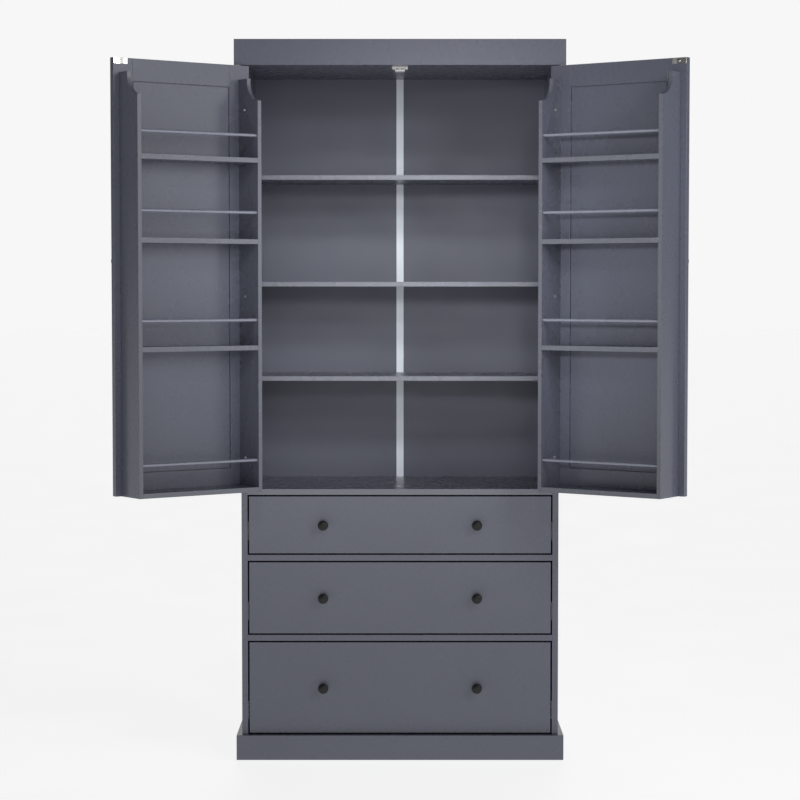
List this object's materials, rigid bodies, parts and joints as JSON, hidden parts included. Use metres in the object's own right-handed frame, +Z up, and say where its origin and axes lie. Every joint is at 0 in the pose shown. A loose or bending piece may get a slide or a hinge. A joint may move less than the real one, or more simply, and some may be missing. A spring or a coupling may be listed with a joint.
{
  "type": "pantry cabinet",
  "caption": "Tall freestanding pantry cabinet: hinged doors with built-in jar racks over full-width shelves, with deep drawers below.",
  "frame": {"origin": "on the floor, under the middle of the cabinet's footprint, at the underside of the centre support foot", "axes": "+Z up; the doors and drawers face -Y; +X to the right as seen from the front"},
  "size_m": [1.3972, 0.6794, 1.815],
  "materials": {
    "painted_board": "satin slate-grey paint on board",
    "drawer_board": "matte grey foil on board",
    "joining_strip_plastic": "smooth pale blue-grey extruded plastic",
    "catch_plastic": "moulded white plastic",
    "magnet_steel": "plain steel pole plates",
    "knob_metal": "satin charcoal coating on cast metal",
    "steel_hardware": "zinc-plated steel",
    "slide_steel": "zinc-plated rolled steel",
    "polished_steel": "polished nickel-plated steel",
    "foot_plastic": "moulded black plastic"
  },
  "bodies": {
    "cabinet": {"side_panel_left": "painted_board", "side_panel_right": "painted_board", "top_panel": "painted_board", "cabinet_floor": "painted_board", "bottom_panel": "painted_board", "drawer_rails": "painted_board", "back_panels": "painted_board", "crown_front": "painted_board", "crown_returns": "painted_board", "plinth_front": "painted_board", "plinth_returns": "painted_board", "shelves": "painted_board", "shelf_pins": "steel_hardware", "cabinet_screws": "steel_hardware", "wall_brackets": "steel_hardware", "cabinet_hinges": "steel_hardware", "slide_outer_members": "slide_steel", "back_joining_strip": "joining_strip_plastic", "catch_housing": "catch_plastic", "catch_magnets": "magnet_steel", "support_feet": "foot_plastic"},
    "left_door": {"left_door_stiles": "painted_board", "left_door_rails": "painted_board", "left_door_panel": "painted_board", "left_rack_sides": "painted_board", "left_rack_shelves": "painted_board", "left_rack_rods": "painted_board", "left_door_knob": "knob_metal", "left_door_hinge_leaves": "steel_hardware", "left_door_strike_plate": "polished_steel"},
    "right_door": {"right_door_stiles": "painted_board", "right_door_rails": "painted_board", "right_door_panel": "painted_board", "right_rack_sides": "painted_board", "right_rack_shelves": "painted_board", "right_rack_rods": "painted_board", "right_door_knob": "knob_metal", "right_door_hinge_leaves": "steel_hardware", "right_door_strike_plate": "polished_steel"},
    "upper_drawer": {"upper_drawer_front": "painted_board", "upper_drawer_sides": "drawer_board", "upper_drawer_back": "drawer_board", "upper_drawer_bottom": "drawer_board", "upper_drawer_knobs": "knob_metal", "upper_drawer_slides": "slide_steel"},
    "upper_slide_middle": {"upper_slide_middles": "slide_steel"},
    "middle_drawer": {"middle_drawer_front": "painted_board", "middle_drawer_sides": "drawer_board", "middle_drawer_back": "drawer_board", "middle_drawer_bottom": "drawer_board", "middle_drawer_knobs": "knob_metal", "middle_drawer_slides": "slide_steel"},
    "middle_slide_middle": {"middle_slide_middles": "slide_steel"},
    "lower_drawer": {"lower_drawer_front": "painted_board", "lower_drawer_sides": "drawer_board", "lower_drawer_back": "drawer_board", "lower_drawer_bottom": "drawer_board", "lower_drawer_knobs": "knob_metal", "lower_drawer_slides": "slide_steel"},
    "lower_slide_middle": {"lower_slide_middles": "slide_steel"}
  },
  "joints": [
    {"name": "left_door_hinge", "type": "hinge", "parent": "cabinet", "child": "left_door", "pos_m": [-0.385, -0.1917, 1.2205], "axis": [0, 0, 1], "range_deg": [-35.3, 144.7]},
    {"name": "right_door_hinge", "type": "hinge", "parent": "cabinet", "child": "right_door", "pos_m": [0.385, -0.1917, 1.2205], "axis": [0, 0, -1], "range_deg": [-35.3, 144.7]},
    {"name": "upper_drawer_slide", "type": "slide", "parent": "cabinet", "child": "upper_drawer", "axis": [0, -1, 0], "range_m": [0, 0.33]},
    {"name": "upper_middle_slide", "type": "slide", "parent": "cabinet", "child": "upper_slide_middle", "axis": [0, -1, 0], "range_m": [0, 0.165]},
    {"name": "middle_drawer_slide", "type": "slide", "parent": "cabinet", "child": "middle_drawer", "axis": [0, -1, 0], "range_m": [0, 0.33]},
    {"name": "middle_middle_slide", "type": "slide", "parent": "cabinet", "child": "middle_slide_middle", "axis": [0, -1, 0], "range_m": [0, 0.165]},
    {"name": "lower_drawer_slide", "type": "slide", "parent": "cabinet", "child": "lower_drawer", "axis": [0, -1, 0], "range_m": [0, 0.33]},
    {"name": "lower_middle_slide", "type": "slide", "parent": "cabinet", "child": "lower_slide_middle", "axis": [0, -1, 0], "range_m": [0, 0.165]}
  ],
  "couplings": [
    {"joint": "upper_middle_slide", "follows": "upper_drawer_slide", "ratio": 0.5},
    {"joint": "middle_middle_slide", "follows": "middle_drawer_slide", "ratio": 0.5},
    {"joint": "lower_middle_slide", "follows": "lower_drawer_slide", "ratio": 0.5}
  ]
}
